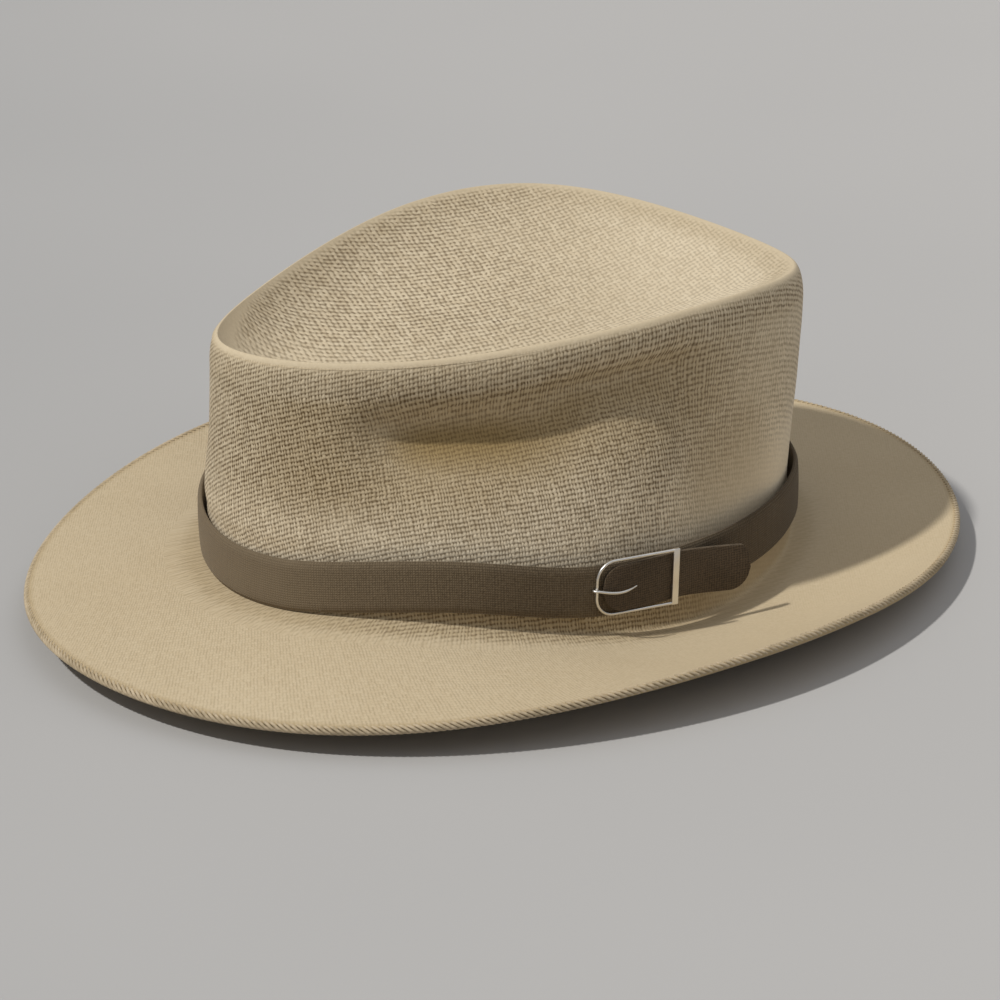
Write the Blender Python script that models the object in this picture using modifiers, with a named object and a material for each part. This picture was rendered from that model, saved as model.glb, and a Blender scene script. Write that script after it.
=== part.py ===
"""Straw fedora with a buckled strap as its band.

Metres, +Z up. The front of the hat faces -Y and the buckle is on its +X side.
The origin is on the surface that the hat rests on, under the middle of its box.
Angles go round the hat from +X towards the back, so -90 degrees is the front.
"""
import math
from collections import namedtuple

import bmesh
import bpy
from mathutils import Matrix, Vector

# Brim
BRIM_LENGTH = 0.3228
BRIM_WIDTH = 0.2724
BRIM_SIDE_LIFT = 0.0070
STRAW_WALL = 0.0024
EDGE_HEIGHT = 0.0110
BRIM_TURNOVER = 0.0030
EDGE_ROUNDING = 0.0009

# Foot of the crown, measured outside
FOOT_LENGTH = 0.2076
FOOT_WIDTH = 0.1607
FOOT_SETBACK = 0.0020
FOOT_RISE = 0.0119

# Crown
CROWN_HEIGHT = 0.1039
RIDGE_LENGTH = 0.2034
RIDGE_WIDTH = 0.1374
RIDGE_SETBACK = 0.0013
RIDGE_NARROWING = 0.32
SHOULDER_OUT = 0.0030
SHOULDER_DROP = 0.0100
CREASE_DEPTH = 0.0180
PINCH_DEPTH = 0.0105
PINCH_FLANK = 4
WAIST_DEPTH = 0.0020

# Band and the free end of the strap
BAND_HEIGHT = 0.0169
STRAP_THICKNESS = 0.0015
STRAP_ROUNDING = 0.0003
BAND_SLACK = 0.0006
BAND_RISE = 0.0128
BAND_DIP = 0.0036
BAND_DIP_ANGLE = -14.0
BAND_DIP_REACH = 18.0
TAIL_PAST_BAR = 0.0262
TAIL_TIP_ROUNDING = 0.0070
TAIL_SPRING = 0.0075
TAIL_SAG = 0.0028
TAIL_PLAY = 0.0005

# Buckle
BUCKLE_LENGTH = 0.0278
BUCKLE_HEIGHT = 0.0190
BUCKLE_FORWARD = 0.0065
BUCKLE_END_DEPTH = 0.0070
WIRE_DIAMETER = 0.0010
BAR_WIDTH = 0.0022
BAR_THICKNESS = 0.0011
PRONG_LENGTH = 0.0132
PRONG_DIAMETER = 0.0009
PRONG_BOW = 0.0016
PRONG_DIP = 0.0007

# Gap between touching pieces
CLEARANCE = 0.0003

# The tail fills the frame between its wires
TAIL_HEIGHT = BUCKLE_HEIGHT - 2 * (WIRE_DIAMETER + CLEARANCE + TAIL_PLAY)

# Resolution
STEPS_AROUND = 60
BAND_STEPS = 72
MERGE_WITHIN = 0.00001
SHARP_FROM_DEGREES = 50.0

# Shares at five even stations round the hat from front to back. The edge is a share of
# BRIM_SIDE_LIFT, the foot of FOOT_RISE, the band's lower edge of BAND_RISE, the ridge of
# CROWN_HEIGHT and the waist of WAIST_DEPTH. Steepness tells how sharply the top drops inside
# its ridge.
Station = namedtuple("Station", "place edge foot band ridge waist steepness")
STATIONS = (
    Station("front", 0.0, 0.64, 0.56, 0.9707, 0.0, 9.0),
    Station("front quarter", 0.0, 0.70, 0.98, 0.957, 0.0, 7.0),
    Station("side", 1.0, -0.52, 0.37, 1.000, 0.5, 3.4),
    Station("back quarter", 0.0, -0.50, 0.12, 0.9824, 1.0, 2.6),
    Station("back", 0.0, -0.30, 0.0, 0.9023, 1.0, 2.4),
)

# Rows up the wall. Rise is the share of the way from foot to shoulder, lean the share of the
# way from the foot's outline to the shoulder's, and waist a share of the waist at that station.
WallRow = namedtuple("WallRow", "rise lean waist")
WALL_ROWS = (
    WallRow(0.00, 0.00, 0.0),
    WallRow(0.10, 0.06, 0.5),
    WallRow(0.22, 0.16, 1.0),
    WallRow(0.34, 0.28, 0.9),
    WallRow(0.45, 0.40, 0.7),
    WallRow(0.55, 0.51, 0.5),
    WallRow(0.64, 0.61, 0.3),
    WallRow(0.73, 0.71, 0.2),
    WallRow(0.82, 0.81, 0.1),
    WallRow(0.91, 0.91, 0.0),
    WallRow(1.00, 1.00, 0.0),
)

# Dents in the wall, each deepest at an angle and a rise, with its reach sideways in degrees and
# below and above in shares of the height. Depth is a share of PINCH_DEPTH.
Dent = namedtuple("Dent", "name angle reach rise below above depth")
DENTS = (
    Dent("left front pinch", -30.0, 20.0, 0.80, 0.18, 0.14, 1.0),
    Dent("left pinch's tail", 0.0, 14.0, 0.90, 0.20, 0.09, 0.7),
    Dent("left side hollow", 23.0, 14.0, 0.62, 0.38, 0.30, 0.45),
    Dent("right front pinch", 210.0, 20.0, 0.80, 0.18, 0.14, 1.0),
    Dent("right pinch's tail", 180.0, 14.0, 0.90, 0.20, 0.09, 0.7),
    Dent("right side hollow", 157.0, 14.0, 0.62, 0.38, 0.30, 0.45),
)

# Shares of the ridge's outline for the rings of the top, from the middle outwards
TOP_RINGS = (0.14, 0.30, 0.46, 0.61, 0.74, 0.84, 0.92, 0.97, 1.0)

# Shares of the brim's width for its rings, from the foot outwards
BRIM_RINGS = (0.08, 0.22, 0.38, 0.54, 0.70, 0.85, 0.95, 1.0)

SHOULDER_ANGLES = (22.5, 45.0, 67.5)

# The tail's rows: turns along its rounded ends, rows between them, shares of its half height
TAIL_TIP_ANGLES = (14, 32, 50, 70, 90)
TAIL_STRAIGHT_ROWS = 8
TAIL_ROW_SHARES = (1.0, 0.34, -0.34, -1.0)

# Turns along the frame's rounded end and along the prong's hook
FRAME_END_ANGLES = range(0, 181, 15)
HOOK_ANGLES = range(190, 89, -20)

# Stations along the prong past its hook: share of PRONG_LENGTH and of its diameter
ProngStation = namedtuple("ProngStation", "share thickness")
PRONG_STATIONS = (
    ProngStation(0.125, 1.0),
    ProngStation(0.25, 1.0),
    ProngStation(0.375, 1.0),
    ProngStation(0.5, 1.0),
    ProngStation(0.625, 1.0),
    ProngStation(0.75, 0.9),
    ProngStation(0.875, 0.75),
    ProngStation(1.0, 0.5),
)


def clear_scene():
    for thing in list(bpy.data.objects):
        bpy.data.objects.remove(thing, do_unlink=True)


def around(column, angle):
    """Smooth, mirrored run round the hat through the five values of one column of STATIONS."""
    values = [getattr(station, column) for station in STATIONS]
    last = len(values) - 1
    turn = angle + math.pi / 2
    total = 0.0
    for wave in range(last + 1):
        weight = 0.0
        for place, value in enumerate(values):
            ends = 0.5 if place in (0, last) else 1.0
            weight += ends * value * math.cos(wave * place * math.pi / last)
        ends = 0.5 if wave in (0, last) else 1.0
        total += ends * 2.0 / last * weight * math.cos(wave * turn)
    return total


def foot_height(angle):
    return EDGE_HEIGHT + FOOT_RISE * around("foot", angle)


def ridge_height(angle):
    return CROWN_HEIGHT * around("ridge", angle)


def oval(width, length, setback, angle, narrowing=0.0):
    """Point on an oval, which narrowing draws in towards the front."""
    across = math.cos(angle)
    along = math.sin(angle)
    return Vector((width / 2 * across * (1 + narrowing * along), setback + length / 2 * along))


def outward(angle):
    """Level direction square to the foot's outline."""
    return Vector((math.cos(angle) / FOOT_WIDTH, math.sin(angle) / FOOT_LENGTH)).normalized()


def foot_outline(angle):
    return oval(FOOT_WIDTH, FOOT_LENGTH, FOOT_SETBACK, angle)


def ridge_outline(angle):
    return oval(RIDGE_WIDTH, RIDGE_LENGTH, RIDGE_SETBACK, angle, RIDGE_NARROWING)


def edge_outline(angle):
    return oval(BRIM_WIDTH, BRIM_LENGTH, 0.0, angle)


def pinch(angle, rise):
    """How far the dents push the wall in, as a share of PINCH_DEPTH."""
    total = 0.0
    for dent in DENTS:
        turn = math.remainder(angle - math.radians(dent.angle), math.tau)
        sideways = turn / math.radians(dent.reach)
        upwards = (rise - dent.rise) / (dent.above if rise > dent.rise else dent.below)
        total += dent.depth * math.exp(-abs(sideways) ** PINCH_FLANK - upwards ** 2)
    return total


def wall_point(angle, row):
    shoulder = ridge_outline(angle) + outward(angle) * SHOULDER_OUT
    plan = foot_outline(angle).lerp(shoulder, row.lean)
    waist = row.waist * around("waist", angle) * WAIST_DEPTH
    plan -= outward(angle) * (waist + pinch(angle, row.rise) * PINCH_DEPTH)
    low = foot_height(angle)
    high = ridge_height(angle) - SHOULDER_DROP
    return plan.to_3d() + Vector((0, 0, low + (high - low) * row.rise))


def shoulder_point(angle, bend):
    """Point on the rounded shoulder: a bend of 0 is the ridge and 90 the top of the wall."""
    out = SHOULDER_OUT * math.sin(math.radians(bend))
    drop = SHOULDER_DROP * (1 - math.cos(math.radians(bend)))
    dent = pinch(angle, 1.0 + (SHOULDER_DROP - drop) / CROWN_HEIGHT) * PINCH_DEPTH
    plan = ridge_outline(angle) + outward(angle) * (out - dent)
    return plan.to_3d() + Vector((0, 0, ridge_height(angle) - drop))


def top_point(angle, share):
    """Point on the hollowed top, at a share of the way out from its middle to the ridge."""
    ridge = shoulder_point(angle, 0.0)
    middle = Vector((0, RIDGE_SETBACK, CROWN_HEIGHT - CREASE_DEPTH))
    plan = middle.lerp(ridge, share)
    height = middle.z + (ridge.z - middle.z) * share ** around("steepness", angle)
    return Vector((plan.x, plan.y, height))


def brim_height(angle, share):
    """Height of the brim's upper face, straight where it falls and hollow where it climbs."""
    fall = foot_height(angle) - EDGE_HEIGHT
    bend = 1.75 - 0.75 * math.tanh(fall / BRIM_TURNOVER)
    level = EDGE_HEIGHT + fall * (1 - share ** bend)
    return level + BRIM_SIDE_LIFT * around("edge", angle) * share ** 3


def brim_point(angle, share):
    plan = foot_outline(angle).lerp(edge_outline(angle), share)
    return plan.to_3d() + Vector((0, 0, brim_height(angle, share)))


def break_point(angle):
    """Start of the brim, which the small corner at the foot leaves BAND_SLACK further out."""
    plan = foot_outline(angle) + outward(angle) * BAND_SLACK
    return plan.to_3d() + Vector((0, 0, foot_height(angle)))


def hat_rings():
    """Functions of the angle, one for each ring, from the middle of the top to the brim's edge."""
    rings = [lambda angle, share=share: top_point(angle, share) for share in TOP_RINGS]
    rings += [lambda angle, bend=bend: shoulder_point(angle, bend) for bend in SHOULDER_ANGLES]
    rings += [lambda angle, row=row: wall_point(angle, row) for row in reversed(WALL_ROWS[1:])]
    rings.append(lambda angle: wall_point(angle, WALL_ROWS[0]) + Vector((0, 0, BAND_SLACK)))
    rings.append(break_point)
    rings += [lambda angle, share=share: brim_point(angle, share) for share in BRIM_RINGS]
    return rings


def material(name, colour, roughness, metallic=0.0):
    made = bpy.data.materials.new(name)
    made.use_nodes = True
    shader = made.node_tree.nodes["Principled BSDF"]
    shader.inputs["Base Color"].default_value = (*colour, 1.0)
    shader.inputs["Roughness"].default_value = roughness
    shader.inputs["Metallic"].default_value = metallic
    return made


def add_object(name, mesh, collection, finish):
    thing = bpy.data.objects.new(name, mesh)
    thing.data.materials.append(finish)
    collection.objects.link(thing)
    return thing


def mesh_from(name, build):
    """Mesh that the function build fills in."""
    work = bmesh.new()
    build(work)
    bmesh.ops.recalc_face_normals(work, faces=work.faces)
    mesh = bpy.data.meshes.new(name)
    work.to_mesh(mesh)
    work.free()
    mesh.shade_smooth()
    return mesh


def bridge(work, first, second, closed):
    """Quads between two rows of vertices."""
    count = len(first)
    for place in range(count if closed else count - 1):
        after = (place + 1) % count
        work.faces.new((first[place], first[after], second[after], second[place]))


def thicken(thing, thickness, rounding, segments):
    """Give an open surface its wall, inwards from its outer face, and round its edges."""
    wall = thing.modifiers.new("wall", "SOLIDIFY")
    wall.thickness = thickness
    wall.offset = -1.0
    wall.use_even_offset = True
    edge = thing.modifiers.new("rounding", "BEVEL")
    edge.width = rounding
    edge.segments = segments
    edge.limit_method = "ANGLE"
    edge.angle_limit = math.radians(65)


def make_hat_body(collection, finish):
    def build(work):
        pole = work.verts.new((0, RIDGE_SETBACK, CROWN_HEIGHT - CREASE_DEPTH))
        rows = []
        for ring in hat_rings():
            angles = [math.tau * step / STEPS_AROUND for step in range(STEPS_AROUND)]
            rows.append([work.verts.new(ring(angle)) for angle in angles])
        for place in range(STEPS_AROUND):
            work.faces.new((pole, rows[0][place], rows[0][(place + 1) % STEPS_AROUND]))
        for first, second in zip(rows, rows[1:]):
            bridge(work, first, second, closed=True)

    body = add_object("hat_body", mesh_from("hat_body", build), collection, finish)
    thicken(body, STRAW_WALL, EDGE_ROUNDING, 2)
    return body


def band_low(angle):
    """Height of the band's lower edge, which dips at the buckle and stays clear of the brim."""
    share = BAND_SLACK / (BRIM_WIDTH - FOOT_WIDTH) * 2
    brim = max(brim_height(angle, share), foot_height(angle)) + CLEARANCE
    turn = math.remainder(angle - math.radians(BAND_DIP_ANGLE), math.tau) / math.radians(BAND_DIP_REACH)
    dip = BAND_DIP * math.exp(-turn ** 2)
    return max(EDGE_HEIGHT + BAND_RISE * around("band", angle) - dip, brim)


def band_point(angle, height, out=0.0):
    """Point on the band's outer face at a height above its lower edge, or further out."""
    reach = BAND_SLACK + STRAP_THICKNESS + out
    plan = foot_outline(angle) + outward(angle) * reach
    return plan.to_3d() + Vector((0, 0, band_low(angle) + height))


def make_hat_band(collection, finish):
    def build(work):
        angles = [math.tau * step / BAND_STEPS for step in range(BAND_STEPS)]
        high = [work.verts.new(band_point(angle, BAND_HEIGHT)) for angle in angles]
        low = [work.verts.new(band_point(angle, 0.0)) for angle in angles]
        bridge(work, high, low, closed=True)

    band = add_object("hat_band", mesh_from("hat_band", build), collection, finish)
    thicken(band, STRAP_THICKNESS, STRAP_ROUNDING, 1)
    return band


def band_angle(back):
    """Angle at which the band's outer face lies a given way behind the hat's middle."""
    return math.asin(2 * (back - FOOT_SETBACK) / (FOOT_LENGTH + 2 * (BAND_SLACK + STRAP_THICKNESS)))


BUCKLE_FRONT = -BUCKLE_FORWARD - BUCKLE_LENGTH / 2
BUCKLE_BACK = -BUCKLE_FORWARD + BUCKLE_LENGTH / 2


def tail_half_height(along, start, finish):
    """Half the tail's height, which falls to nothing at its two rounded ends."""
    from_end = min(along - start, finish - along)
    bend = min(from_end / TAIL_TIP_ROUNDING, 1.0)
    return TAIL_HEIGHT / 2 * math.sqrt(max(1 - (1 - bend) ** 2, 0.0))


def make_band_tail(collection, finish):
    """Strap end that lies over the band, passes under the buckle's bar and springs off it."""
    start = BUCKLE_FRONT + WIRE_DIAMETER + 2 * CLEARANCE
    end = BUCKLE_BACK + TAIL_PAST_BAR
    curved = [TAIL_TIP_ROUNDING * (1 - math.cos(math.radians(turn))) for turn in TAIL_TIP_ANGLES]
    spacing = (end - start - 2 * TAIL_TIP_ROUNDING) / TAIL_STRAIGHT_ROWS
    straight = [start + TAIL_TIP_ROUNDING + spacing * row for row in range(1, TAIL_STRAIGHT_ROWS)]
    places = [start + way for way in curved] + straight + [end - way for way in reversed(curved)]

    def build(work):
        rows = []
        for along in places:
            angle = band_angle(along)
            half = tail_half_height(along, start, end)
            past_bar = max(along - BUCKLE_BACK, 0.0) / TAIL_PAST_BAR
            middle = BUCKLE_HEIGHT / 2 - TAIL_SAG * past_bar
            heights = [middle + half * share for share in TAIL_ROW_SHARES]
            out = CLEARANCE + STRAP_THICKNESS + TAIL_SPRING * past_bar ** 2
            rows.append([work.verts.new(band_point(angle, height, out)) for height in heights])
        for first, second in zip(rows, rows[1:]):
            bridge(work, first, second, closed=False)

    tail = add_object("band_tail", mesh_from("band_tail", build), collection, finish)
    thicken(tail, STRAP_THICKNESS, STRAP_ROUNDING, 1)
    return tail


def buckle_axes():
    """Matrix from the buckle's own axes: along the band, up across it, and outwards."""
    radius = WIRE_DIAMETER / 2
    front = band_point(band_angle(BUCKLE_FRONT), BUCKLE_HEIGHT / 2, CLEARANCE + radius)
    bend = band_angle(BUCKLE_BACK) - band_angle(BUCKLE_FRONT)
    room = BAR_WIDTH / 2 * math.sin(bend)
    lift = CLEARANCE + STRAP_THICKNESS + CLEARANCE + room + BAR_THICKNESS / 2
    back = band_point(band_angle(BUCKLE_BACK), BUCKLE_HEIGHT / 2, lift)
    along = (back - front).normalized()
    out = along.cross(Vector((0, 0, 1))).normalized()
    across = out.cross(along)
    turn = Matrix((along, across, out)).transposed().to_4x4()
    return Matrix.Translation(front) @ turn, (back - front).length


def tube(name, points, radius, taper=None):
    """Closed mesh of a wire along points."""
    curve = bpy.data.curves.new(name, "CURVE")
    curve.dimensions = "3D"
    curve.bevel_depth = radius
    curve.bevel_resolution = 2
    curve.use_fill_caps = True
    spline = curve.splines.new("POLY")
    spline.points.add(len(points) - 1)
    for place, (point, spot) in enumerate(zip(points, spline.points)):
        spot.co = (*point, 1.0)
        spot.radius = taper[place] if taper else 1.0
    guide = bpy.data.objects.new(name + "_wire", curve)
    bpy.context.scene.collection.objects.link(guide)
    seen = guide.evaluated_get(bpy.context.evaluated_depsgraph_get())
    mesh = bpy.data.meshes.new_from_object(seen)
    bpy.data.objects.remove(guide, do_unlink=True)
    work = bmesh.new()
    work.from_mesh(mesh)
    bmesh.ops.remove_doubles(work, verts=work.verts, dist=MERGE_WITHIN)
    bmesh.ops.recalc_face_normals(work, faces=work.faces)
    work.to_mesh(mesh)
    work.free()
    mesh.name = name
    mesh.shade_smooth()
    mesh.set_sharp_from_angle(angle=math.radians(SHARP_FROM_DEGREES))
    return mesh


def make_buckle_frame(collection, cutters, finish):
    """Bent wire with a rounded front end, soldered to a flat bar at its back."""
    placed, length = buckle_axes()
    half = (BUCKLE_HEIGHT - WIRE_DIAMETER) / 2
    bends = [math.radians(turn) for turn in FRAME_END_ANGLES]
    curved = [Vector((BUCKLE_END_DEPTH * (1 - math.sin(turn)), half * math.cos(turn), 0)) for turn in bends]
    ends = [Vector((length, half * side, 0)) for side in (1, -1)]
    points = [ends[0]] + curved + [ends[1]]
    frame = add_object("buckle_frame", tube("buckle_frame", points, WIRE_DIAMETER / 2), collection, finish)
    frame.matrix_world = placed

    bpy.ops.mesh.primitive_cube_add(size=1.0)
    bar = bpy.context.object
    bar.name = "bar_to_solder"
    bar.data.transform(Matrix.Diagonal((BAR_WIDTH, BUCKLE_HEIGHT, BAR_THICKNESS, 1.0)))
    bar.matrix_world = placed @ Matrix.Translation((length, 0, 0))
    bar.hide_render = True
    bar.display_type = "WIRE"
    for holder in list(bar.users_collection):
        holder.objects.unlink(bar)
    cutters.objects.link(bar)
    solder = frame.modifiers.new("solder", "BOOLEAN")
    solder.operation = "UNION"
    solder.object = bar
    return frame


def make_buckle_prong(collection, finish):
    """Tongue that hooks round the front of the frame and bows over the strap to its tip."""
    placed, _ = buckle_axes()
    grip = WIRE_DIAMETER / 2 + CLEARANCE + PRONG_DIAMETER / 2
    hook = []
    for angle in HOOK_ANGLES:
        turn = math.radians(angle)
        hook.append(Vector((grip * math.cos(turn), 0, grip * math.sin(turn))))
    face = CLEARANCE + STRAP_THICKNESS - WIRE_DIAMETER / 2 + PRONG_DIAMETER / 2
    reach = []
    for station in PRONG_STATIONS:
        bow = math.sin(math.pi * station.share)
        height = grip + (face - grip) * station.share + PRONG_BOW * bow
        reach.append(Vector((PRONG_LENGTH * station.share, -PRONG_DIP * bow, height)))
    taper = [1.0] * len(hook) + [station.thickness for station in PRONG_STATIONS]
    mesh = tube("buckle_prong", hook + reach, PRONG_DIAMETER / 2, taper)
    prong = add_object("buckle_prong", mesh, collection, finish)
    prong.matrix_world = placed
    return prong


def main():
    clear_scene()
    scene = bpy.context.scene
    parts = bpy.data.collections.new("fedora")
    cutters = bpy.data.collections.new("solder_guides")
    scene.collection.children.link(parts)
    scene.collection.children.link(cutters)
    straw = material("straw", (0.56, 0.46, 0.31), 0.85)
    make_hat_body(parts, straw)
    make_hat_band(parts, material("band_cloth", (0.095, 0.066, 0.040), 0.9))
    make_band_tail(parts, material("tail_cloth", (0.060, 0.042, 0.026), 0.85))
    make_buckle_frame(parts, cutters, material("buckle_metal", (0.72, 0.69, 0.64), 0.3, 1.0))
    make_buckle_prong(parts, material("prong_metal", (0.72, 0.69, 0.64), 0.3, 1.0))


main()
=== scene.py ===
"""Looks of the straw fedora with a buckled strap as its band.

Metres, +Z up. The front of the hat faces -Y and the buckle is on its +X side.
Angles go round the hat from +X towards the back, so -90 degrees is the front.
"""
import functools
import math
from collections import namedtuple

import bmesh
import bpy
from mathutils import Matrix, Vector


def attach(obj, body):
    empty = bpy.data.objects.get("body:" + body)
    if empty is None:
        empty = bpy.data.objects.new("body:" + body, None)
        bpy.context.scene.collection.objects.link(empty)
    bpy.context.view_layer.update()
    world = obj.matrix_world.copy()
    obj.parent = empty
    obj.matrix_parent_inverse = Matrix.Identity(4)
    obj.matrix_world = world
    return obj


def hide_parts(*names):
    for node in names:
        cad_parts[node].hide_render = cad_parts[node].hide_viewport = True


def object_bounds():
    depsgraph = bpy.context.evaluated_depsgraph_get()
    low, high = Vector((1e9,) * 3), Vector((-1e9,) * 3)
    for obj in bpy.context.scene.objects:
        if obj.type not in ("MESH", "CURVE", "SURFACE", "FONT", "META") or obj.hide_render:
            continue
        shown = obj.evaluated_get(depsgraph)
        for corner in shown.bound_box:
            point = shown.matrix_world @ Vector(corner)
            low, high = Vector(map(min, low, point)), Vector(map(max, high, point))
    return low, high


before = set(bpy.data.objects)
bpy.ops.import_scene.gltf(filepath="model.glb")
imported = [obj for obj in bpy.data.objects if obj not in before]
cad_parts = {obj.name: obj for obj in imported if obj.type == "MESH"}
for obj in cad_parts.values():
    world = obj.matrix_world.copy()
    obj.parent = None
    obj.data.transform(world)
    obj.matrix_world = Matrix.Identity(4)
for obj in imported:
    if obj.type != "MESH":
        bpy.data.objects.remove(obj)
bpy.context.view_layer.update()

# Brim
BRIM_LENGTH = 0.3228
BRIM_WIDTH = 0.2724
BRIM_SIDE_LIFT = 0.0070
STRAW_WALL = 0.0024
EDGE_HEIGHT = 0.0110
BRIM_TURNOVER = 0.0030
BRIM_STRAIGHT_BEND = 1.0
BRIM_HOLLOW_BEND = 2.5
BRIM_LIFT_BEND = 3

# Foot of the crown, measured outside
FOOT_LENGTH = 0.2076
FOOT_WIDTH = 0.1607
FOOT_SETBACK = 0.0020
FOOT_RISE = 0.0119

# Crown
CROWN_HEIGHT = 0.1039
RIDGE_LENGTH = 0.2034
RIDGE_WIDTH = 0.1374
RIDGE_SETBACK = 0.0013
RIDGE_NARROWING = 0.32
SHOULDER_OUT = 0.0030
SHOULDER_DROP = 0.0100
CREASE_DEPTH = 0.0180
PINCH_DEPTH = 0.0105
PINCH_FLANK = 4
WAIST_DEPTH = 0.0020

# Band and the free end of the strap
BAND_HEIGHT = 0.0169
STRAP_THICKNESS = 0.0015
BAND_SLACK = 0.0006
BAND_RISE = 0.0128
BAND_DIP = 0.0036
BAND_DIP_ANGLE = -14.0
BAND_DIP_REACH = 18.0
BAND_CROWN = 0.0003
BAND_EDGE_SHARE = 0.07
BAND_EDGE_ROUNDING = 0.4
TAIL_PAST_BAR = 0.0262
TAIL_SPRING = 0.0075
TAIL_SAG = 0.0028
TAIL_PLAY = 0.0005
TAIL_CROWN = 0.0003
TAIL_EDGE = 0.0004
TAIL_START_ROUNDING = 0.0070
TAIL_TOP_ROUNDING = 0.0022
TAIL_LOW_ROUNDING = 0.0065

# Buckle
BUCKLE_LENGTH = 0.0278
BUCKLE_HEIGHT = 0.0190
BUCKLE_FORWARD = 0.0065
BUCKLE_CORNER = 0.0062
WIRE_DIAMETER = 0.0010
BAR_WIDTH = 0.0022
BAR_THICKNESS = 0.0011
BAR_EDGE = 0.0002
PRONG_LENGTH = 0.0132
PRONG_DIAMETER = 0.0009
PRONG_BOW = 0.0016
PRONG_DIP = 0.0007
PRONG_TAPER = 0.5
PRONG_TAPER_START = 0.6
HOOK_START = 190
HOOK_TURN = 100

# Gap between touching pieces
CLEARANCE = 0.0003

TAIL_HEIGHT = BUCKLE_HEIGHT - 2 * (WIRE_DIAMETER + CLEARANCE + TAIL_PLAY)

# Swell of the wall above the band, at the front, with the rises at which it starts, peaks and ends
FRONT_SWELL = 0.0012
SWELL_START = 0.24
SWELL_PEAK = 0.36
SWELL_END = 0.72

# Braided edge of the brim, whose strands start under the edge and wrap round it
BRAID_PITCH = 0.0021
BRAID_STRAND = 0.0005
BRAID_REACH = 0.0010
BRAID_SLANT = 0.0064
BRAID_INSET = 0.35
BRAID_START = math.radians(-115)
BRAID_WRAP = math.radians(250)

# Weave of the wall: columns stand upright, and rows are cuts that tilt and lie wider apart to
# the right of the photo's view
COLUMN_PITCH = 0.00113
ROW_PITCH = 0.00158
ROW_WIDENING = 0.0027
WIDER_FROM = -0.040
WIDER_TO = 0.060
ROW_TILT_BACK = 0.576
ROW_TILT_ACROSS = 0.171
ROW_BEND = 1.24
COUNTED_RISE = 0.45

# Weave of the top, which follows its far slope
TOP_ROW_PITCH = 0.00131
TOP_COLUMN_PITCH = 0.00152
TOP_ROW_TILT = 0.22
TOP_ROW_BEND = 2.5
TOP_COLUMN_TURN = math.radians(32)

# Weave of the brim, whose columns run towards the view and draw together
BRIM_COLUMN_PITCH = 0.00108
BRIM_ROW_PITCH = 0.0015
BRIM_FAN_SIDE = -0.085
BRIM_FAN_TRUE = 0.120
BRIM_FAN_START = 0.050
BRIM_FAN_REACH = 0.235

BAND_YARN_PITCH = 0.0008

# Direction from which the photo looks at the hat, round it and above it
VIEW_ROUND = math.radians(54.81)
VIEW_ABOVE = math.radians(22.53)
ACROSS_VIEW = Vector((math.cos(VIEW_ROUND), math.sin(VIEW_ROUND), 0))
TOWARDS_VIEW = Vector((math.sin(VIEW_ROUND), -math.cos(VIEW_ROUND), 0))

# Resolution, with rings that draw together towards the ridge and spread a little at the foot
STEPS_AROUND = 280
TOP_STEPS = 46
TOP_CROWDING = 1.7
SHOULDER_STEPS = 13
WALL_STEPS = 48
BRIM_STEPS = 44
BRIM_CROWDING = 0.9
BAND_STEPS = 300
BAND_ROWS = 12
TAIL_STEPS = 72
TAIL_HALF_ROWS = 12
CORNER_STEPS = 12
HOOK_STEPS = 15
PRONG_STEPS = 24
EDGE_STEPS = 480
ARC_POINTS = 9
STRAND_SIDES = 8

# Colours
STRAW_DULL = (0.69, 0.578, 0.410, 1)
STRAW_PALE = (0.85, 0.738, 0.550, 1)
# Brown of the painted shade in the dents, on the upper wall and below the band, and of the straw's
# darker tone on the brim, shoulder and top
STRAW_SHADE_AND_TONE = (0.34, 0.238, 0.102, 1)
STRAW_GAP = (0.105, 0.062, 0.022, 1)
BRAID_DULL = (0.36, 0.285, 0.18, 1)
BRAID_PALE = (0.56, 0.455, 0.31, 1)
BAND_DARK = (0.075, 0.053, 0.030, 1)
BAND_LIGHT = (0.175, 0.132, 0.082, 1)
BAND_RUBBED = (0.21, 0.165, 0.105, 1)
TAIL_DARK = (0.044, 0.031, 0.018, 1)
TAIL_LIGHT = (0.112, 0.080, 0.050, 1)
TAIL_RUBBED = (0.12, 0.09, 0.06, 1)
CLOTH_SHEEN = (1, 0.88, 0.7, 1)
METAL_DULL = (0.74, 0.72, 0.68, 1)
METAL_BRIGHT = (0.86, 0.84, 0.80, 1)
# Ends of the floor's painted light, from the dimmer left to the paler right
FLOOR_DARK = (0.415, 0.410, 0.404, 1)
FLOOR_LIGHT = (0.505, 0.494, 0.482, 1)

# Painted light: how much paler the band is for each metre towards the left of the view
BAND_PAINTED_LIGHT = 3.0

FLOOR_SIZE = 14.0

# Shares at five even stations round the hat from front to back, as in the model
Station = namedtuple("Station", "place edge foot band ridge waist steepness")
STATIONS = (
    Station("front", 0.0, 0.64, 0.56, 0.9707, 0.0, 9.0),
    Station("front quarter", 0.0, 0.70, 0.98, 0.957, 0.0, 7.0),
    Station("side", 1.0, -0.52, 0.37, 1.000, 0.5, 3.4),
    Station("back quarter", 0.0, -0.50, 0.12, 0.9824, 1.0, 2.6),
    Station("back", 0.0, -0.30, 0.0, 0.9023, 1.0, 2.4),
)

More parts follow.
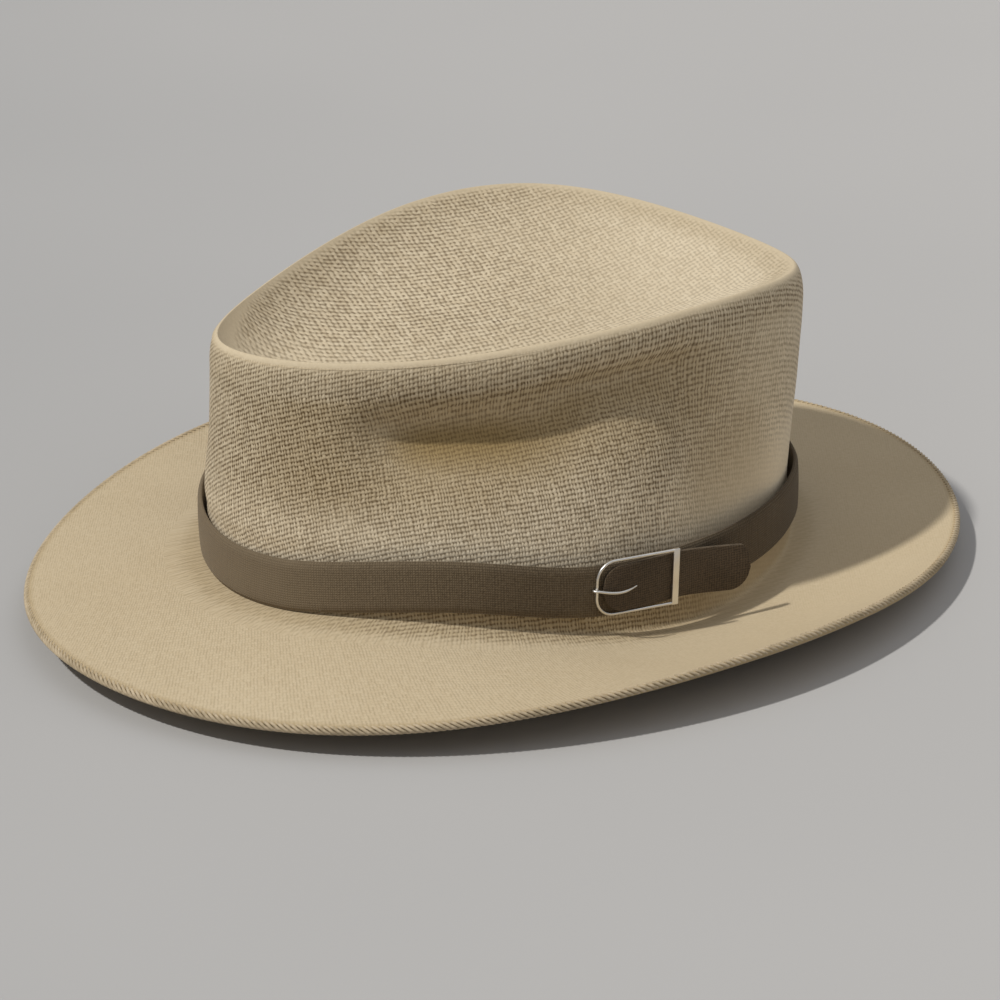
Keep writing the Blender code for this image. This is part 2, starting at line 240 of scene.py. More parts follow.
# Rows up the wall: share of the height, share of the way in to the shoulder, share of the waist
WallRow = namedtuple("WallRow", "rise lean waist")
WALL_ROWS = (
    WallRow(0.00, 0.00, 0.0),
    WallRow(0.10, 0.06, 0.5),
    WallRow(0.22, 0.16, 1.0),
    WallRow(0.34, 0.28, 0.9),
    WallRow(0.45, 0.40, 0.7),
    WallRow(0.55, 0.51, 0.5),
    WallRow(0.64, 0.61, 0.3),
    WallRow(0.73, 0.71, 0.2),
    WallRow(0.82, 0.81, 0.1),
    WallRow(0.91, 0.91, 0.0),
    WallRow(1.00, 1.00, 0.0),
)

# Dents in the wall, each deepest at an angle and a rise, with its reach sideways, below and above
Dent = namedtuple("Dent", "name angle reach rise below above depth")
DENTS = (
    Dent("left front pinch", -30.0, 20.0, 0.79, 0.20, 0.14, 1.0),
    Dent("left pinch's tail", 0.0, 14.0, 0.90, 0.20, 0.09, 0.7),
    Dent("left side hollow", 23.0, 14.0, 0.62, 0.38, 0.30, 0.45),
    Dent("right front pinch", 210.0, 20.0, 0.79, 0.20, 0.14, 1.0),
    Dent("right pinch's tail", 180.0, 14.0, 0.90, 0.20, 0.09, 0.7),
    Dent("right side hollow", 157.0, 14.0, 0.62, 0.38, 0.30, 0.45),
)


def between(low, high, value):
    """Smooth step from 0 at low to 1 at high."""
    share = min(max((value - low) / (high - low), 0.0), 1.0)
    return share * share * (3 - 2 * share)


@functools.lru_cache(maxsize=None)
def around(column, angle):
    """Smooth, mirrored run round the hat through the five values of one column of STATIONS."""
    values = [getattr(station, column) for station in STATIONS]
    last = len(values) - 1
    turn = angle + math.pi / 2
    total = 0.0
    for wave in range(last + 1):
        weight = 0.0
        for place, value in enumerate(values):
            ends = 0.5 if place in (0, last) else 1.0
            weight += ends * value * math.cos(wave * place * math.pi / last)
        ends = 0.5 if wave in (0, last) else 1.0
        total += ends * 2.0 / last * weight * math.cos(wave * turn)
    return total


def foot_height(angle):
    return EDGE_HEIGHT + FOOT_RISE * around("foot", angle)


def ridge_height(angle):
    return CROWN_HEIGHT * around("ridge", angle)


def oval(width, length, setback, angle, narrowing=0.0):
    """Point on an oval, which narrowing draws in towards the front."""
    across = math.cos(angle)
    along = math.sin(angle)
    return Vector((width / 2 * across * (1 + narrowing * along), setback + length / 2 * along))


def outward(angle):
    """Level direction square to the foot's outline."""
    return Vector((math.cos(angle) / FOOT_WIDTH, math.sin(angle) / FOOT_LENGTH)).normalized()


def foot_outline(angle):
    return oval(FOOT_WIDTH, FOOT_LENGTH, FOOT_SETBACK, angle)


def ridge_outline(angle):
    return oval(RIDGE_WIDTH, RIDGE_LENGTH, RIDGE_SETBACK, angle, RIDGE_NARROWING)


def edge_outline(angle):
    return oval(BRIM_WIDTH, BRIM_LENGTH, 0.0, angle)


def pinch(angle, rise):
    """How far the dents push the wall in, as a share of PINCH_DEPTH."""
    total = 0.0
    for dent in DENTS:
        turn = math.remainder(angle - math.radians(dent.angle), math.tau)
        sideways = turn / math.radians(dent.reach)
        upwards = (rise - dent.rise) / (dent.above if rise > dent.rise else dent.below)
        total += dent.depth * math.exp(-abs(sideways) ** PINCH_FLANK - upwards ** 2)
    return total


@functools.lru_cache(maxsize=None)
def wall_row(rise):
    """Row at any rise, on a smooth curve through WALL_ROWS."""
    last = len(WALL_ROWS) - 1
    place = max(index for index, row in enumerate(WALL_ROWS[:last]) if row.rise <= rise)
    near = [WALL_ROWS[min(max(place + step, 0), last)] for step in (-1, 0, 1, 2)]
    span = near[2].rise - near[1].rise
    share = (rise - near[1].rise) / span
    found = []
    for column in ("lean", "waist"):
        before, start, end, after = (getattr(row, column) for row in near)
        left = (end - before) * span / (near[2].rise - near[0].rise)
        right = (after - start) * span / (near[3].rise - near[1].rise)
        found.append(
            start * (1 + 2 * share) * (1 - share) ** 2
            + left * share * (1 - share) ** 2
            + end * share ** 2 * (3 - 2 * share)
            + right * share ** 2 * (share - 1)
        )
    return WallRow(rise, *found)


def wall_point(angle, row):
    shoulder = ridge_outline(angle) + outward(angle) * SHOULDER_OUT
    plan = foot_outline(angle).lerp(shoulder, row.lean)
    waist = row.waist * around("waist", angle) * WAIST_DEPTH
    rising = between(SWELL_START, SWELL_PEAK, row.rise)
    bulge = rising * (1 - between(SWELL_PEAK, SWELL_END, row.rise))
    swell = FRONT_SWELL * max(-math.sin(angle), 0.0) ** 2 * bulge
    plan -= outward(angle) * (waist + pinch(angle, row.rise) * PINCH_DEPTH - swell)
    low = foot_height(angle)
    high = ridge_height(angle) - SHOULDER_DROP
    return plan.to_3d() + Vector((0, 0, low + (high - low) * row.rise))


def shoulder_point(angle, bend):
    """Point on the rounded shoulder: a bend of 0 is the ridge and 90 the top of the wall."""
    out = SHOULDER_OUT * math.sin(math.radians(bend))
    drop = SHOULDER_DROP * (1 - math.cos(math.radians(bend)))
    dent = pinch(angle, 1.0 + (SHOULDER_DROP - drop) / CROWN_HEIGHT) * PINCH_DEPTH
    plan = ridge_outline(angle) + outward(angle) * (out - dent)
    return plan.to_3d() + Vector((0, 0, ridge_height(angle) - drop))


def top_point(angle, share):
    """Point on the hollowed top, at a share of the way out from its middle to the ridge."""
    ridge = shoulder_point(angle, 0.0)
    middle = Vector((0, RIDGE_SETBACK, CROWN_HEIGHT - CREASE_DEPTH))
    plan = middle.lerp(ridge, share)
    height = middle.z + (ridge.z - middle.z) * share ** around("steepness", angle)
    return Vector((plan.x, plan.y, height))


def brim_height(angle, share):
    """Height of the brim's upper face, straight where it falls and hollow where it climbs."""
    fall = foot_height(angle) - EDGE_HEIGHT
    middle = (BRIM_HOLLOW_BEND + BRIM_STRAIGHT_BEND) / 2
    bend = middle - (BRIM_HOLLOW_BEND - middle) * math.tanh(fall / BRIM_TURNOVER)
    level = EDGE_HEIGHT + fall * (1 - share ** bend)
    return level + BRIM_SIDE_LIFT * around("edge", angle) * share ** BRIM_LIFT_BEND


def brim_point(angle, share):
    plan = foot_outline(angle).lerp(edge_outline(angle), share)
    return plan.to_3d() + Vector((0, 0, brim_height(angle, share)))


def corner_point(angle):
    """Point on the wall just above the foot, where the small corner starts."""
    return wall_point(angle, wall_row(0.0)) + Vector((0, 0, BAND_SLACK))


def break_point(angle):
    """Start of the brim, which the small corner at the foot leaves BAND_SLACK further out."""
    plan = foot_outline(angle) + outward(angle) * BAND_SLACK
    return plan.to_3d() + Vector((0, 0, foot_height(angle)))


def new_piece(name, mesh, finish):
    """Object at the origin that shows a mesh in one finish."""
    piece = bpy.data.objects.new(name, mesh)
    if not mesh.materials:
        mesh.materials.append(finish)
    bpy.context.scene.collection.objects.link(piece)
    return piece


def mesh_of(name, build):
    """Smooth mesh that the function build fills in."""
    work = bmesh.new()
    build(work)
    bmesh.ops.recalc_face_normals(work, faces=work.faces)
    mesh = bpy.data.meshes.new(name)
    work.to_mesh(mesh)
    work.free()
    mesh.shade_smooth()
    return mesh


def grid(work, rows, closed, weave=None):
    """Quads between rows of vertices. Weave gives the place in the weave of row and column."""
    layer = work.loops.layers.uv.verify() if weave else None
    for low, (first, second) in enumerate(zip(rows, rows[1:])):
        count = len(first)
        for place in range(count if closed else count - 1):
            after = (place + 1) % count
            face = work.faces.new((first[place], first[after], second[after], second[place]))
            if weave:
                spots = ((low, place), (low, place + 1), (low + 1, place + 1), (low + 1, place))
                for loop, spot in zip(face.loops, spots):
                    loop[layer].uv = weave(*spot)


def in_top_weave(point):
    """Place in the top's weave, counted in threads across and up."""
    aside = point.dot(ACROSS_VIEW)
    towards = point.dot(TOWARDS_VIEW)
    above = (point.z - CROWN_HEIGHT + CREASE_DEPTH) * (1 - between(-0.01, 0.03, towards))
    down = towards * math.sin(VIEW_ABOVE) - above * math.cos(VIEW_ABOVE)
    across = aside * math.cos(TOP_COLUMN_TURN) - down * math.sin(TOP_COLUMN_TURN)
    row = down + aside * TOP_ROW_TILT + aside * aside * TOP_ROW_BEND
    return across / TOP_COLUMN_PITCH, row / TOP_ROW_PITCH


def in_brim_weave(point):
    """Place in the brim's weave, counted in threads across and up."""
    towards = point.dot(TOWARDS_VIEW)
    fan = 1 - (max(towards, BRIM_FAN_START) - BRIM_FAN_TRUE) / BRIM_FAN_REACH
    across = (point.dot(ACROSS_VIEW) - BRIM_FAN_SIDE) * fan
    return across / BRIM_COLUMN_PITCH, towards / BRIM_ROW_PITCH


def in_wall_weave(point, turn, columns):
    """Place in the wall's weave at a share of the way round, counted in threads across and up."""
    aside = point.dot(ACROSS_VIEW)
    row = point.z - ROW_TILT_BACK * point.dot(TOWARDS_VIEW) - ROW_TILT_ACROSS * aside
    row -= ROW_BEND * max(aside, 0.0) ** 2
    pitch = ROW_PITCH + ROW_WIDENING * (min(max(aside, WIDER_FROM), WIDER_TO) - WIDER_FROM)
    return columns * turn, row / pitch


def share_of_way(shape, steps=720):
    """Table of the share of the whole way round a shape at even angles, and its length."""
    points = [shape(math.tau * step / steps) for step in range(steps + 1)]
    lengths = [0.0]
    for first, second in zip(points, points[1:]):
        lengths.append(lengths[-1] + (second - first).length)
    whole = lengths[-1]
    return [length / whole for length in lengths], whole


def turn_at(turns, step, steps):
    """Share of the way round at one of so many even steps, from a table of share_of_way."""
    return turns[round(step * (len(turns) - 1) / steps)]


TOP_RINGS = [1 - (1 - step / TOP_STEPS) ** TOP_CROWDING for step in range(1, TOP_STEPS + 1)]
SHOULDER_BENDS = [90 * step / SHOULDER_STEPS for step in range(1, SHOULDER_STEPS)]
WALL_RISES = [1 - step / WALL_STEPS for step in range(WALL_STEPS)]
BRIM_SHARES = [(step / BRIM_STEPS) ** BRIM_CROWDING for step in range(1, BRIM_STEPS + 1)]

# Rings of the shoulder that keep the top's weave, and rings of the brim that keep the wall's
SHOULDER_SEAM = 3
FOOT_WEAVE_RINGS = 9
FOOT_WEAVE_END = BRIM_SHARES[FOOT_WEAVE_RINGS - 2]


def make_straw(finish):
    """Crown and brim in one piece.

    Its map gives the place in the weave. Its attributes give how clearly the weave and the gaps
    between its rows show, and how far the straw is darkened by painted shade and by its own darker
    tone.
    """
    part = functools.partial
    angles = [math.tau * step / STEPS_AROUND for step in range(STEPS_AROUND)]
    rings = [("top", share, part(top_point, share=share)) for share in TOP_RINGS]
    rings += [("shoulder", bend, part(shoulder_point, bend=bend)) for bend in SHOULDER_BENDS]
    rings += [("wall", rise, part(wall_point, row=wall_row(rise))) for rise in WALL_RISES]
    rings.append(("wall", 0.0, corner_point))
    rings.append(("brim", 0.0, break_point))
    rings += [("brim", share, part(brim_point, share=share)) for share in BRIM_SHARES]
    wall_starts = len(TOP_RINGS) + SHOULDER_SEAM
    brim_starts = len(TOP_RINGS) + len(SHOULDER_BENDS) + len(WALL_RISES) + 1
    turns, length = share_of_way(lambda angle: wall_point(angle, wall_row(COUNTED_RISE)))
    columns = round(length / COLUMN_PITCH)
    points = [[shape(angle) for angle in angles] for _, _, shape in rings]

    def weave_place(low):
        def place(ring, step):
            point = points[ring][step % STEPS_AROUND]
            if low >= brim_starts + FOOT_WEAVE_RINGS:
                return in_brim_weave(point)
            if low < wall_starts:
                return in_top_weave(point)
            return in_wall_weave(point, turn_at(turns, step, STEPS_AROUND), columns)
        return place

    def depth(ring, angle, point):
        """How clearly the weave shows, with places aside and near in metres from the middle."""
        zone, share, _ = rings[ring]
        aside = point.dot(ACROSS_VIEW)
        if zone == "top":
            near = between(0.0, 0.05, point.dot(TOWARDS_VIEW))
            fade_right = 0.42 * between(-0.02, 0.06, aside)
            plain = (0.78 - fade_right) * (1 - 0.3 * near)
            rim = 0.96 - 0.05 * near
            return plain * (1 - between(rim, rim + 0.04, share))
        if zone == "shoulder":
            return 0.85 * between(20, 50, share)
        if zone == "wall":
            low = 1 - between(0.35, 0.65, share)
            # The weave fades towards the right of the view, standing in for the shade there, and
            # more on the lower wall
            fade_low_right = 0.35 * low * between(0.045, 0.07, aside)
            fade_right = 0.4 * between(0.05, 0.09, aside) + fade_low_right
            flattened = 0.4 * min(pinch(angle, share), 1.0)
            return (1.0 - 0.18 * low - fade_right) * (1 - flattened)
        fade_right = 0.24 * between(0.0, 0.07, aside)
        at_foot = 1 - between(0.1, FOOT_WEAVE_END, share)
        sheltered = between(-0.06, -0.03, aside) * (1 - between(0.03, 0.07, aside))
        return 0.36 - fade_right + 0.3 * sheltered * at_foot

    def rows_shown(ring):
        """How far the gaps between rows show beside those between columns."""
        zone, share, _ = rings[ring]
        return 1 - 0.8 * between(0.1, FOOT_WEAVE_END, share) if zone == "brim" else 1.0

    def shade_and_tone(ring, angle, aside):
        """How far the straw is darkened: painted shade, most in the dents and below the band, over
        its own darker tone.
        """
        zone, share, _ = rings[ring]
        shoulder = 0.42
        if zone == "brim":
            # Painted shade where the brim meets the crown and in the gaps under the braided edge
            at_foot = 0.15 * (1 - between(0.08, 0.18, share))
            at_edge = 0.37 * between(0.97, 0.99, share)
            return 0.55 + at_foot + at_edge
        if zone == "top":
            # Painted light: the top is darkened less towards the right of the view
            inside = 0.32 - 0.12 * between(0.02, 0.07, aside)
            return inside + (shoulder - inside) * between(0.85, 0.95, share)
        if zone == "shoulder":
            return shoulder
        # Painted shade in the dents, over the upper wall and below the band, eased at the far
        # sides and where the wall is lit
        dent_shade = 1.2 * min(pinch(angle, min(share + 0.04, 1.0)), 1.0)
        start = 0.28 + 0.14 * between(-0.01, 0.03, aside)
        middle = 1 - 0.6 * between(0.055, 0.09, abs(aside))
        upper_wall_shade = 0.02 + 0.70 * between(start, start + 0.34, share) * middle
        shade_below_band = 0.8 * (1 - between(0.06, 0.16, share))
        painted_shade = max(upper_wall_shade, dent_shade, shade_below_band)
        return shoulder + (painted_shade - shoulder) * (1 - between(0.95, 1.0, share))

    def build(work):
        depths = work.verts.layers.float.new("weave_depth")
        shade_and_tone_layer = work.verts.layers.float.new("shade_and_tone")
        row_gaps = work.verts.layers.float.new("rows_shown")
        pole = work.verts.new((0, RIDGE_SETBACK, CROWN_HEIGHT - CREASE_DEPTH))
        pole[depths] = 1.0
        pole[row_gaps] = 1.0
        rows = []
        for ring, places in enumerate(points):
            row = [work.verts.new(point) for point in places]
            for angle, vertex in zip(angles, row):
                vertex[depths] = depth(ring, angle, vertex.co)
                vertex[shade_and_tone_layer] = shade_and_tone(ring, angle, vertex.co.dot(ACROSS_VIEW))
                vertex[row_gaps] = rows_shown(ring)
            rows.append(row)
        layer = work.loops.layers.uv.new("weave")
        for place in range(STEPS_AROUND):
            face = work.faces.new((pole, rows[0][place], rows[0][(place + 1) % STEPS_AROUND]))
            for loop in face.loops:
                loop[layer].uv = in_top_weave(loop.vert.co)
        for low, pair in enumerate(zip(rows, rows[1:])):
            place_in_weave = weave_place(low)
            grid(work, pair, closed=True, weave=lambda row, step: place_in_weave(low + row, step))

    straw = new_piece("straw_shell", mesh_of("straw_shell", build), finish)
    wall = straw.modifiers.new("wall", "SOLIDIFY")
    wall.thickness = STRAW_WALL
    wall.offset = -1.0
    wall.use_even_offset = True
    return straw


def band_low(angle):
    """Height of the band's lower edge, which dips at the buckle and stays clear of the brim."""
    share = BAND_SLACK / (BRIM_WIDTH - FOOT_WIDTH) * 2
    brim = max(brim_height(angle, share), foot_height(angle)) + CLEARANCE
    turn = math.remainder(angle - math.radians(BAND_DIP_ANGLE), math.tau)
    dip = BAND_DIP * math.exp(-(turn / math.radians(BAND_DIP_REACH)) ** 2)
    return max(EDGE_HEIGHT + BAND_RISE * around("band", angle) - dip, brim)


def band_point(angle, height, out=0.0):
    """Point on the band's outer face at a height above its lower edge, or further out."""
    reach = BAND_SLACK + STRAP_THICKNESS + out
    plan = foot_outline(angle) + outward(angle) * reach
    return plan.to_3d() + Vector((0, 0, band_low(angle) + height))


def make_band(finish):
    """Strap once round the crown, a little domed, with softly rounded edges."""
    turns, length = share_of_way(lambda angle: band_point(angle, 0.0))
    yarns = round(length / BAND_YARN_PITCH)
    heights = [BAND_HEIGHT * step / BAND_ROWS for step in range(BAND_ROWS + 1)]
    rim = STRAP_THICKNESS * BAND_EDGE_ROUNDING

    def outline():
        """Heights and ways out round the section, from the outer face over the top and back."""
        places = []
        for height in heights:
            across = 2 * height / BAND_HEIGHT - 1
            edge = rim * max(abs(across) - 1 + BAND_EDGE_SHARE, 0) / BAND_EDGE_SHARE
            places.append((height, BAND_CROWN * (1 - across * across) - edge))
        places.append((BAND_HEIGHT + rim * BAND_EDGE_ROUNDING, -STRAP_THICKNESS / 2))
        for height in reversed(heights[::4]):
            places.append((height, -STRAP_THICKNESS))
        return places

    section = outline()

    def build(work):
        layer = work.loops.layers.uv.new("weave")
        rows = []
        for step in range(BAND_STEPS):
            angle = math.tau * step / BAND_STEPS
            rows.append([work.verts.new(band_point(angle, *place)) for place in section])
        count = len(section)
        for step, (row, after) in enumerate(zip(rows, rows[1:] + rows[:1])):
            for place in range(count):
                beyond = (place + 1) % count
                face = work.faces.new((row[place], after[place], after[beyond], row[beyond]))
                spots = ((step, place), (step + 1, place), (step + 1, beyond), (step, beyond))
                for loop, (column, spot) in zip(face.loops, spots):
                    yarn = yarns * turn_at(turns, column, BAND_STEPS)
                    loop[layer].uv = (yarn, section[spot][0] / BAND_YARN_PITCH)

    return new_piece("band_cloth", mesh_of("band_cloth", build), finish)


def band_angle(back):
    """Angle at which the band's outer face lies a given way behind the hat's middle."""
    length = FOOT_LENGTH + 2 * (BAND_SLACK + STRAP_THICKNESS)
    return math.asin(2 * (back - FOOT_SETBACK) / length)


BUCKLE_FRONT = -BUCKLE_FORWARD - BUCKLE_LENGTH / 2
BUCKLE_BACK = -BUCKLE_FORWARD + BUCKLE_LENGTH / 2


def tail_limit(from_start, from_end, tip_rounding):
    """Half the tail's height, which its two rounded ends bring down to nothing."""
    front = min(from_start / TAIL_START_ROUNDING, 1.0)
    tip = min(from_end / tip_rounding, 1.0)
    half = math.sqrt(max(1 - (1 - front) ** 2, 0.0)) * math.sqrt(max(1 - (1 - tip) ** 2, 0.0))
    return TAIL_HEIGHT / 2 * half


def make_tail(finish):
    """Strap end that lies over the band, passes under the buckle's bar and springs off it."""
    start = BUCKLE_FRONT + WIRE_DIAMETER + 2 * CLEARANCE
    end = BUCKLE_BACK + TAIL_PAST_BAR
    turns = [math.pi * step / TAIL_STEPS for step in range(1, TAIL_STEPS)]
    places = [start + (end - start) * (1 - math.cos(turn)) / 2 for turn in turns]
    shares = [step / TAIL_HALF_ROWS for step in range(-TAIL_HALF_ROWS, TAIL_HALF_ROWS + 1)]

    def build(work):
        work.loops.layers.uv.new("weave")
        rows = []
        heights = []
        for along in places:
            angle = band_angle(along)
            top = tail_limit(along - start, end - along, TAIL_TOP_ROUNDING)
            low = tail_limit(along - start, end - along, TAIL_LOW_ROUNDING)
            past_bar = max(along - BUCKLE_BACK, 0.0) / TAIL_PAST_BAR
            middle = BUCKLE_HEIGHT / 2 - TAIL_SAG * past_bar
            out = CLEARANCE + STRAP_THICKNESS + TAIL_SPRING * past_bar ** 2
            row = []
            for share in shares:
                height = middle + (top if share > 0 else low) * share
                dome = TAIL_CROWN * (1 - share * share)
                row.append(work.verts.new(band_point(angle, height, out + dome)))
            rows.append(row)
            heights.append([vertex.co.z for vertex in row])

        def weave(row, column):
            return places[row] / BAND_YARN_PITCH, heights[row][column] / BAND_YARN_PITCH

        for low, pair in enumerate(zip(rows, rows[1:])):
            grid(work, pair, closed=False, weave=lambda row, column: weave(low + row, column))

    tail = new_piece("tail_cloth", mesh_of("tail_cloth", build), finish)
    wall = tail.modifiers.new("thickness", "SOLIDIFY")
    wall.thickness = STRAP_THICKNESS
    wall.offset = -1.0
    rounding = tail.modifiers.new("rounding", "BEVEL")
    rounding.width = TAIL_EDGE
    rounding.segments = 3
    rounding.angle_limit = math.radians(50)
    return tail


def buckle_axes():
    """Matrix from the buckle's own axes: along the band, up across it, and outwards."""
    radius = WIRE_DIAMETER / 2
    front = band_point(band_angle(BUCKLE_FRONT), BUCKLE_HEIGHT / 2, CLEARANCE + radius)
    bend = band_angle(BUCKLE_BACK) - band_angle(BUCKLE_FRONT)
    room = BAR_WIDTH / 2 * math.sin(bend)
    lift = CLEARANCE + STRAP_THICKNESS + CLEARANCE + room + BAR_THICKNESS / 2
    back = band_point(band_angle(BUCKLE_BACK), BUCKLE_HEIGHT / 2, lift)
    along = (back - front).normalized()
    out = along.cross(Vector((0, 0, 1))).normalized()
    across = out.cross(along)
    turn = Matrix((along, across, out)).transposed().to_4x4()
    return Matrix.Translation(front) @ turn, (back - front).length


def wire_mesh(name, points, radius, taper=None):
    """Closed mesh of a wire along points."""
    curve = bpy.data.curves.new(name, "CURVE")
    curve.dimensions = "3D"
    curve.bevel_depth = radius
    curve.bevel_resolution = 6
    curve.use_fill_caps = True
    spline = curve.splines.new("POLY")
    spline.points.add(len(points) - 1)
    for place, (point, spot) in enumerate(zip(points, spline.points)):
        spot.co = (*point, 1.0)
        spot.radius = taper[place] if taper else 1.0
    guide = bpy.data.objects.new(name + "_line", curve)
    bpy.context.scene.collection.objects.link(guide)
    seen = guide.evaluated_get(bpy.context.evaluated_depsgraph_get())
    mesh = bpy.data.meshes.new_from_object(seen)
    bpy.data.objects.remove(guide, do_unlink=True)
    work = bmesh.new()
    work.from_mesh(mesh)
    bmesh.ops.remove_doubles(work, verts=work.verts, dist=0.00001)
    bmesh.ops.recalc_face_normals(work, faces=work.faces)
    work.to_mesh(mesh)
    work.free()
    mesh.shade_smooth()
    mesh.set_sharp_from_angle(angle=math.radians(50))
    return mesh


def make_buckle(finish):
    """Wire bent round two corners at its front, soldered to a flat bar at its back."""
    placed, length = buckle_axes()
    half = (BUCKLE_HEIGHT - WIRE_DIAMETER) / 2
    corner = BUCKLE_CORNER
    points = [Vector((length, half, 0))]
    for centre, first in ((half - corner, 90), (corner - half, 180)):
        for step in range(CORNER_STEPS + 1):
            turn = math.radians(first + 90 * step / CORNER_STEPS)
            along = corner + corner * math.cos(turn)
            across = centre + corner * math.sin(turn)
            points.append(Vector((along, across, 0)))
    points.append(Vector((length, -half, 0)))
    mesh = wire_mesh("buckle_wire_and_bar", points, WIRE_DIAMETER / 2)
    work = bmesh.new()
    work.from_mesh(mesh)
    sizes = Matrix.Diagonal((BAR_WIDTH, BUCKLE_HEIGHT, BAR_THICKNESS, 1.0))
    bar = bmesh.ops.create_cube(work, size=1.0, matrix=Matrix.Translation((length, 0, 0)) @ sizes)
    edges = list({edge for vertex in bar["verts"] for edge in vertex.link_edges})
    bmesh.ops.bevel(work, geom=edges, offset=BAR_EDGE, segments=3, affect="EDGES", profile=0.5)
    work.to_mesh(mesh)
    work.free()
    mesh.transform(placed)
    mesh.shade_smooth()
    mesh.set_sharp_from_angle(angle=math.radians(40))
    return new_piece("buckle_wire_and_bar", mesh, finish)


def make_prong(finish):
    """Tongue that hooks round the front of the frame and bows over the strap to its tip."""
    placed, _ = buckle_axes()
    grip = WIRE_DIAMETER / 2 + CLEARANCE + PRONG_DIAMETER / 2
    hook = []
    for step in range(HOOK_STEPS + 1):
        turn = math.radians(HOOK_START - HOOK_TURN * step / HOOK_STEPS)
        hook.append(Vector((grip * math.cos(turn), 0, grip * math.sin(turn))))
    face = CLEARANCE + STRAP_THICKNESS - WIRE_DIAMETER / 2 + PRONG_DIAMETER / 2
    reach = []
    thickness = []
    for step in range(1, PRONG_STEPS + 1):
        share = step / PRONG_STEPS
        bow = math.sin(math.pi * share)
        height = grip + (face - grip) * share + PRONG_BOW * bow
        reach.append(Vector((PRONG_LENGTH * share, -PRONG_DIP * bow, height)))
        thickness.append(1 - PRONG_TAPER * between(PRONG_TAPER_START, 1.0, share))
    mesh = wire_mesh("prong", hook + reach, PRONG_DIAMETER / 2, [1.0] * len(hook) + thickness)
    mesh.transform(placed)
    return new_piece("prong", mesh, finish)


class Finish:
    """A material under construction."""

    def __init__(self, name):
        self.material = bpy.data.materials.new(name)
        self.material.use_nodes = True
        self.tree = self.material.node_tree
        self.tree.nodes.clear()

    def add(self, kind, settings=None, sockets=None, out=0):
        """New node with its settings and the values or links of its sockets."""
        made = self.tree.nodes.new(kind)
        for name, value in (settings or {}).items():
            setattr(made, name, value)
        for name, value in (sockets or {}).items():
            if isinstance(value, Wire):
                self.tree.links.new(value.socket, made.inputs[name])
            else:
                made.inputs[name].default_value = value
        return Wire(self, made.outputs[out]) if made.outputs else made

    def mix(self, share, first, second):
        """Colour between two colours."""
        return self.add("ShaderNodeMix", {"data_type": "RGBA"}, {0: share, 6: first, 7: second}, 2)

    def surface(self, fixed=None, **sockets):
        """Principled surface, with its output."""
        values = {name.replace("_", " "): value for name, value in sockets.items()}
        values.update(fixed or {})
        shader = self.add("ShaderNodeBsdfPrincipled", None, values)
        self.add("ShaderNodeOutputMaterial", None, {"Surface": shader})
        return self.material


class Wire:
    """A socket in sums. Each operator adds a Math node."""

    def __init__(self, finish, socket):
        self.finish = finish
        self.socket = socket

    def math(self, operation, *others):
        sockets = {place: value for place, value in enumerate((self, *others))}
        return self.finish.add("ShaderNodeMath", {"operation": operation}, sockets)

    def __add__(self, other):
        return self.math("ADD", other)

    __radd__ = __add__

    def __mul__(self, other):
        return self.math("MULTIPLY", other)

    __rmul__ = __mul__

    def __sub__(self, other):
        return self.math("SUBTRACT", other)

    def __rsub__(self, other):
        return self.finish.add("ShaderNodeMath", {"operation": "SUBTRACT"}, {0: other, 1: self})

    def at_most(self, other):
        return self.math("MINIMUM", other)

    def part(self):
        return self.math("FRACT")

    def whole(self):
        return self.math("FLOOR")

    def size(self):
        return self.math("ABSOLUTE")

    def sharpened(self, low, high):
        """Smooth step from 0 at low to 1 at high."""
        sockets = {0: self, 1: low, 2: high}
        return self.finish.add("ShaderNodeMapRange", {"interpolation_type": "SMOOTHSTEP"}, sockets)


def own_place(finish):
    """Place on the piece, in its own metres."""
    return finish.add("ShaderNodeTexCoord", out=3)


def place_aside(finish):
    """How far a place lies to the right in the photo's view."""
    sockets = {0: own_place(finish), 1: ACROSS_VIEW}
    return finish.add("ShaderNodeVectorMath", {"operation": "DOT_PRODUCT"}, sockets, 1)


def noise(finish, scale, detail=2.0):
    sockets = {"Scale": scale, "Detail": detail, "Vector": own_place(finish)}
    return finish.add("ShaderNodeTexNoise", None, sockets)


def attribute(finish, name):
    return finish.add("ShaderNodeAttribute", {"attribute_name": name}, out=2)


def bumped(finish, height, strength, distance):
    """Normal bent by a height."""
    sockets = {"Strength": strength, "Distance": distance, "Height": height}
    return finish.add("ShaderNodeBump", None, sockets)


def chance(finish, value):
    """A number from 0 to 1 for each whole number."""
    return finish.add("ShaderNodeTexWhiteNoise", {"noise_dimensions": "1D"}, {"W": value})


def plain_weave(finish, across, up, rows_shown=1.0):
    """Relief and dark gaps of a plain weave, at a place counted in threads.

    Holes lie where gaps between rows and gaps between columns cross, and weaker dashes of
    chance strength run between them. The factors on whole numbers only keep the chances of
    neighbours apart.
    """
    from_row = 1 - (up.part() * 2 - 1).size()
    from_column = 1 - (across.part() * 2 - 1).size()
    nearest_row = (up + 0.5).whole()
    nearest_column = (across + 0.5).whole()
    row_dash = chance(finish, nearest_row * 37 + across.whole())
    column_dash = chance(finish, nearest_column * 41 + up.whole() + 0.5)
    hole_depth = chance(finish, nearest_row * 53 + nearest_column) * 0.5 + 0.75
    row_gap = (1 - from_row.sharpened(0.15, 0.75)) * rows_shown
    column_gap = 1 - from_column.sharpened(0.12, 0.72)
    hole = row_gap * column_gap * hole_depth
    between_dashes = (1 - row_gap * row_dash * 0.75) * (1 - column_gap * column_dash * 0.65)
    gaps = 1 - (1 - hole.at_most(1)) * between_dashes
    relief = from_row.sharpened(0.0, 0.8) * from_column.sharpened(0.0, 0.8)
    return relief, gaps


